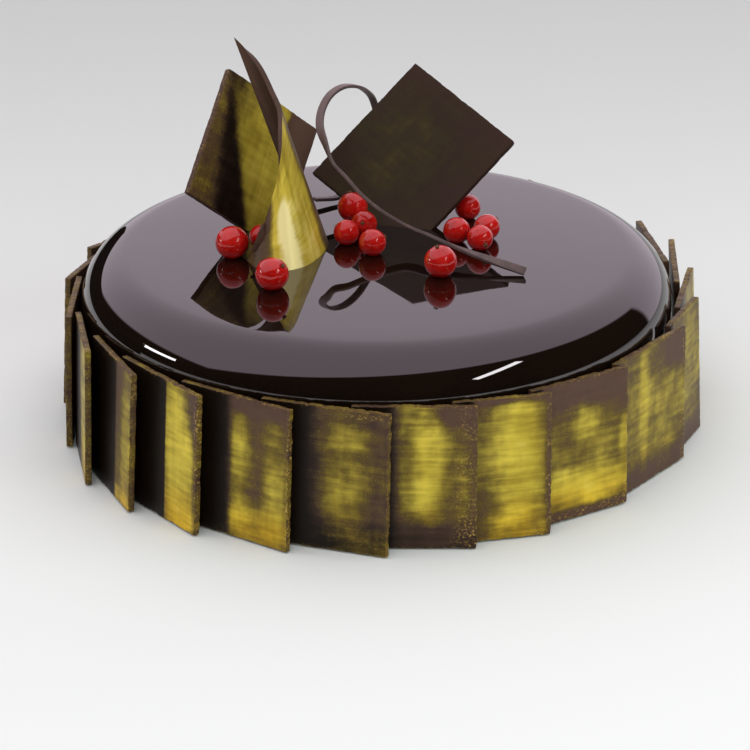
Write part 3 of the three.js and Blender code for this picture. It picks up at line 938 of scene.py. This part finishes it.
def make_side_panel(number, tree, finish):
    node = f"side_panel_{number:02d}"
    matrix, width, height, thickness = panel_seat(node)
    piece, local = make_plate(
        f"gilded_panel_{number:02d}", tree, finish, (width, height, thickness - PANEL_BACK_ROOM),
        PANEL_RAGGEDNESS, PANEL_UNEVENNESS, seed=number * 5,
    )
    shown_from = left_edge_of_shown_part(number, matrix)
    across = (local[:, 0] - shown_from) / (width - shown_from)
    up = local[:, 1] / height
    look = PANEL_BRUSHWORK.get(number) or unseen_brushwork(number)
    # The left margin is painted shade: ungilded chocolate with no dust and less gold, made black.
    shaded_margin, softness = look["bare"]
    bared = soft_step(across, shaded_margin, shaded_margin + softness)
    foot_darkening = look.get("darker_foot", 0.0) * soft_step(-up, -0.3, -0.05)
    to_edge = np.minimum.reduce([local[:, 1], height - local[:, 1], width - local[:, 0]])
    edge = np.clip(1 - to_edge / CRUMBLY_EDGE, 0, 1)
    crumbs = 0.55 * edge + dabbed(across, up, look.get("crumbs", []))
    gold = dabbed(across, up, look["dabs"]) * bared - 0.5 * (1 - bared) + 0.2 * edge
    brush(
        piece, local, number,
        gold=gold,
        dust=look["dust"] * bared * (1 - foot_darkening),
        warmth=np.clip(1.1 - up / FOOT_WARMTH_SHARE, 0, 1),
        crumbs=np.clip(crumbs, 0, 1) * soft_step(across, -0.05, 0.1),
        strokes=look.get("strokes", 0.7),
        back_gold=0.6 * edge - 0.35,
    )
    piece.data.transform(matrix)
    settle(piece, node)


def make_left_plaque(tree, finish):
    """Gilded in a broad brushed field towards its right, plain chocolate at its left, painted shade
    between.
    """
    matrix, *size = plaque_seat("left_plaque")
    piece, local = make_plate(
        "left_gilded_plaque", tree, finish, size, PLAQUE_RAGGEDNESS, PLAQUE_UNEVENNESS, seed=3
    )
    whole = np.array([matrix @ Vector(point) for point in local]) / MM
    sideways = whole[:, 0]
    fallen = (whole[:, 2].max() - whole[:, 2]) / SHADE_WEDGE_HEIGHT
    shade_wedge_left = SHADE_WEDGE_TIP - SHADE_WEDGE_SPREAD[0] * fallen
    shade_wedge_right = SHADE_WEDGE_TIP + SHADE_WEDGE_SPREAD[1] * fallen
    field = soft_step(sideways, shade_wedge_right - 1.5, shade_wedge_right + 2) * soft_step(-sideways, 26, 30)
    field *= 0.35 + 0.65 * soft_step(fallen, 0.1, 0.75)
    ridge = np.exp(-((sideways - shade_wedge_right - 4) / 2.2) ** 2)
    left_part = soft_step(-sideways, -shade_wedge_left - 2, 2 - shade_wedge_left)
    right_corner = soft_step(sideways, -30, -26)
    tip = np.exp(-((sideways + 27.5) / 2) ** 2) * soft_step(whole[:, 2], 83, 87)
    # The wedge between the gold field and the left part is painted shade: less gold and dark chocolate.
    shade_wedge = (1 - field) * (1 - left_part)
    brush(
        piece, local, 31,
        gold=(1.05 + 0.15 * ridge) * field + 0.15 * left_part + 0.9 * tip - 0.3 * shade_wedge,
        dust=0.55 * left_part + 0.85 * right_corner + 0.5 * field + 0.12,
        crumbs=0.4 * left_part * (1 - soft_step(local[:, 0], 0, 1.5 * MM)),
        strokes=0.5,
    )
    piece.data.transform(matrix)
    settle(piece, "left_plaque")


def make_right_plaque(tree, finish):
    """Satin all over, with its faint gold in the middle and brown dust towards its corners."""
    matrix, *size = plaque_seat("right_plaque")
    piece, local = make_plate(
        "right_satin_plaque", tree, finish, size, PLAQUE_RAGGEDNESS, PLAQUE_UNEVENNESS, seed=8
    )
    away = np.hypot(local[:, 0] / size[0] - 0.45, local[:, 1] / size[1] - 0.42)
    brush(piece, local, 37, gold=0.5 - 0.75 * away, dust=0.45 + 0.6 * away, strokes=0.5)
    piece.data.transform(matrix)
    settle(piece, "right_plaque")


def make_rolled_plaque(tree, finish):
    """The plaque rolled into an open cone, gilded outside."""
    steps = 121
    foot = smooth_line([(x * MM, y * MM, 0.0) for x, y in ROLL_FOOT], steps)
    for point in foot:
        point[2] = glaze_height(point[0], point[1]) - GLAZE_DIP
    free_edge = smooth_line([np.array(point) * MM for point in ROLL_FREE_EDGE], steps)
    for point in free_edge:
        point[2] = max(point[2], glaze_height(point[0], point[1]) + ROLL_EDGE_LIFT)
    piece = make_piece("rolled_gilded_plaque", tree, np.vstack([free_edge, foot]), {
        "Rows": 61,
        "Thickness": ROLL_THICKNESS,
        "Finish": finish,
    }, edge_round=PLATE_EDGE_ROUND)
    place = get_attribute(piece.data, "sheet_place", 3)
    along, up = place[:, 0], 1 - place[:, 1]
    # A painted highlight: a narrow band of extra gold down the roll, pale where it lies thickest.
    highlight_line = 0.68 + 0.03 * up
    painted_highlight = np.exp(-((along - highlight_line) / 0.045) ** 2) * soft_step(-up, -0.85, -0.6)
    bared = soft_step(along, 0.75, 0.85)
    gold = 1.35 * soft_step(along, 0.36, 0.5) * (1 - bared) + 1.4 * painted_highlight
    gold -= 0.35 * soft_step(up, 0.5, 0.85)
    brush(piece, place * np.array(ROLL_FLAT_SIZE), 43, gold=gold, dust=0.75, strokes=0.4)
    settle(piece, "rolled_plaque")


def make_curled_strip(tree, finish):
    """The thin strip that lies on the glaze, crosses the right plaque and loops behind it."""
    steps = 420
    path = smooth_line([np.array(point) * MM for point in STRIP_PATH], steps)
    directions = smooth_line(STRIP_WIDTH_DIRECTIONS, steps)
    tangents = np.gradient(path, axis=0)
    tangents /= np.linalg.norm(tangents, axis=1, keepdims=True)
    across = directions - (directions * tangents).sum(1, keepdims=True) * tangents
    across /= np.linalg.norm(across, axis=1, keepdims=True)
    half = 0.5 * STRIP_WIDTH * across
    piece = make_piece("curled_chocolate_strip", tree, np.vstack([path - half, path + half]), {
        "Rows": 5,
        "Thickness": STRIP_THICKNESS,
        "Finish": finish,
    }, edge_round=STRIP_EDGE_ROUND)
    brush(piece, local_points(piece.data), 47, gold=-0.4, dust=0.9)
    settle(piece, "curled_strip")


def make_currant(number, tree, skin, calyx):
    node = f"currant_{number:02d}"
    centre, radius, direction = currant_seat(node)
    piece = make_piece(f"redcurrant_{number:02d}", tree, [(0, 0, 0)], {
        "Radius": radius,
        "Sepals": 5,
        "Seed": float(number),
        "Skin": skin,
        "Calyx": calyx,
    })
    local = local_points(piece.data)
    turn = np.arctan2(local[:, 1], local[:, 0])
    set_attribute(piece.data, "vein", "FLOAT", np.maximum(np.cos(CURRANT_RIBS * turn), 0) ** 6)
    rotation = Vector((0, 0, 1)).rotation_difference(Vector(direction)).to_matrix().to_4x4()
    piece.data.transform(Matrix.Translation(Vector(centre)) @ rotation)
    settle(piece, node)


# ---- Studio ----

def make_sheet(name, corners, faces, material):
    """A flat sheet of the studio."""
    mesh = bpy.data.meshes.new(name)
    mesh.from_pydata(corners, [], faces)
    mesh.materials.append(material)
    return new_object(name, mesh)


def make_floor():
    """The floor, a little below the cake."""
    corners = [(x * FLOOR_HALF, y * FLOOR_HALF, 0) for x, y in ((-1, -1), (1, -1), (1, 1), (-1, 1))]
    floor = make_sheet("floor", corners, [(0, 1, 2, 3)], pale_floor())
    floor.location.z = -FLOOR_DROP


def make_softbox(name, start, end, width, power, mirrored=True):
    """A soft light as long as from start to end. It can be kept out of mirror reflections."""
    start = Vector(start)
    end = Vector(end)
    middle = (start + end) / 2
    length = (end - start).length
    along = (end - start).normalized()
    back = middle - Vector(LIGHTS_AIM)
    back = (back - back.dot(along) * along).normalized()
    light = bpy.data.lights.new(name, "AREA")
    light.shape = "RECTANGLE"
    light.size = length
    light.size_y = width
    light.energy = power
    lamp = new_object(name, light)
    lamp.matrix_world = plate_matrix(middle, along, back.cross(along), back)
    lamp.visible_glossy = mirrored


def make_dark_card():
    """A black card low at the left, which only mirror reflections see."""
    material, bench, shader = new_finish("black card")
    bench.give(shader, {"Base Color": (0.004, 0.003, 0.003, 1), "Roughness": 0.9})
    corners = [(x, y, z) for z in CARD_HEIGHTS for x, y in CARD_FOOT]
    card = make_sheet("dark_card", corners, [(0, 1, 4, 3), (1, 2, 5, 4)], material)
    card.visible_camera = False
    card.visible_diffuse = False
    card.visible_shadow = False


def make_surroundings():
    """Bright walls at the back and a bright ceiling. It is dark low at the sides and in front."""
    world = bpy.data.worlds.new("studio")
    world.use_nodes = True
    world.node_tree.nodes.clear()
    bench = Bench(world.node_tree)
    direction = bench.add("ShaderNodeTexCoord").outputs["Generated"]
    x, y, z = bench.parts(direction)
    # Bright beyond the edge of the ceiling or of the back wall, and right of the left limit.
    ceiling = bench.minus(z, bench.times(x, 0.35))
    ceiling = bench.plus(ceiling, bench.times(y, 0.5))
    ceiling = bench.minus(ceiling, 0.45)
    back_wall = bench.plus(y, bench.times(x, 0.15))
    back_wall = bench.times(bench.minus(back_wall, 0.68), 1.5)
    left_limit = bench.plus(bench.times(x, 0.6), bench.plus(z, 0.2))
    inside = bench.math("MINIMUM", bench.math("MAXIMUM", ceiling, back_wall), left_limit)
    edge_glow = bench.ramp(inside, 0.0, 0.35, 1.08, 1.0)
    top_glow = bench.ramp(z, 0.42, 0.85, 1.0, 1.65)
    level = bench.times(bench.ramp(inside, -0.02, 0.05), edge_glow)
    level = bench.times(level, top_glow)
    colour = bench.blend(level, (0.012, 0.010, 0.009, 1), (1.0, 0.875, 0.98, 1))
    background = bench.add("ShaderNodeBackground", {"Color": colour, "Strength": 1.12})
    bench.add("ShaderNodeOutputWorld", {"Surface": background.outputs[0]})
    bpy.context.scene.world = world


def make_camera():
    """The photograph's view, from 23 degrees above the horizon."""
    data = bpy.data.cameras.new("camera")
    data.sensor_width = 36
    data.lens = 141.1
    data.clip_start = 0.01
    camera = new_object("camera", data)
    camera.location = (-0.00055, -0.8395, 0.3692)
    camera.rotation_euler = (math.radians(67), 0, 0)
    bpy.context.scene.camera = camera


# ---- Assembly ----

bpy.context.scene.view_settings.view_transform = "Standard"
make_camera()
make_surroundings()
make_floor()
make_softbox("overhead fill", (-0.6, -0.3, 1.3), (0.6, -0.3, 1.3), 1.0, 2.3, mirrored=False)
make_softbox("front fill", (-0.6, -1.3, 0.6), (0.6, -1.3, 0.6), 0.6, 4.5, mirrored=False)
make_softbox("right fill", (1.2, -0.9, 0.5), (1.2, 0.1, 0.5), 0.6, 4.3, mirrored=False)
make_softbox("left strip light", (-1.25, 0.2, 0.27), (-1.25, -0.25, 0.32), 0.07, 1.4)
make_softbox("right strip light", (0.71, -0.92, 0.63), (0.86, -0.42, 0.88), 0.07, 1.4)
make_dark_card()

gilt = gilded_chocolate()
satin = satin_chocolate()
plate_tree = chocolate_plate_tree()
sheet_tree = ruled_sheet_tree()
make_glazed_cake(turned_body_tree(), mirror_glaze())
for panel in [name for name in ALL_NODES if name.startswith("side_panel_")]:
    make_side_panel(int(panel[-2:]), plate_tree, gilt)
make_left_plaque(plate_tree, gilt)
make_right_plaque(plate_tree, satin)
make_rolled_plaque(sheet_tree, gilt)
make_curled_strip(sheet_tree, strip_chocolate())
berry_tree = currant_tree()
berry_skin = currant_skin()
berry_calyx = dry_calyx()
for berry in [name for name in ALL_NODES if name.startswith("currant_")]:
    make_currant(int(berry[-2:]), berry_tree, berry_skin, berry_calyx)
